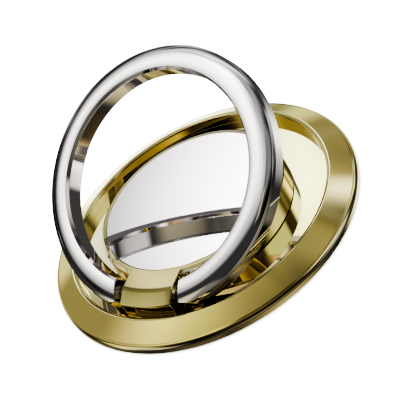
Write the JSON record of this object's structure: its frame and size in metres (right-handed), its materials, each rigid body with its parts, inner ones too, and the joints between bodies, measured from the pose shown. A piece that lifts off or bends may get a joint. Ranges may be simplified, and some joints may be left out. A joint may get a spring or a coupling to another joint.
{
  "type": "phone ring holder",
  "caption": "Round stick-on phone grip with a polished gold tray, a spinning turntable with a mirror plate, and a chrome finger ring that folds up as a stand.",
  "frame": {"origin": "centre of the adhesive pad's underside, where the holder meets the phone", "axes": "+Z away from the phone along the turntable's spin axis; the ring's hinge lies on the -Y side and turns about X"},
  "size_m": [0.04, 0.04, 0.0194],
  "materials": {
    "polished_gold": "mirror-polished pale gold plating on die-cast zinc alloy",
    "ring_chrome": "mirror-polished chrome plating",
    "mirror_plate": "mirror-polished steel sheet",
    "bare_steel": "plain turned steel",
    "washer_plastic": "natural nylon",
    "adhesive_foam": "matt foam tape"
  },
  "bodies": {
    "base": {"base_tray": "polished_gold", "adhesive_pad": "adhesive_foam", "slip_washer": "washer_plastic"},
    "table": {"turntable": "polished_gold", "cover_plate": "mirror_plate", "hinge_pin": "bare_steel", "hinge_washer_left": "bare_steel", "hinge_washer_right": "bare_steel", "centre_rivet": "bare_steel", "retaining_washer": "bare_steel", "spring_washer": "bare_steel"},
    "ring": {"finger_ring": "ring_chrome"}
  },
  "joints": [
    {"name": "table_spin", "type": "hinge", "parent": "base", "child": "table", "pos_m": [0, 0, 0], "axis": [0, 0, 1], "continuous": true},
    {"name": "ring_fold", "type": "hinge", "parent": "table", "child": "ring", "pos_m": [0, -0.0132, 0.00232], "axis": [1, 0, 0], "range_deg": [-33.5, 48.5]}
  ]
}
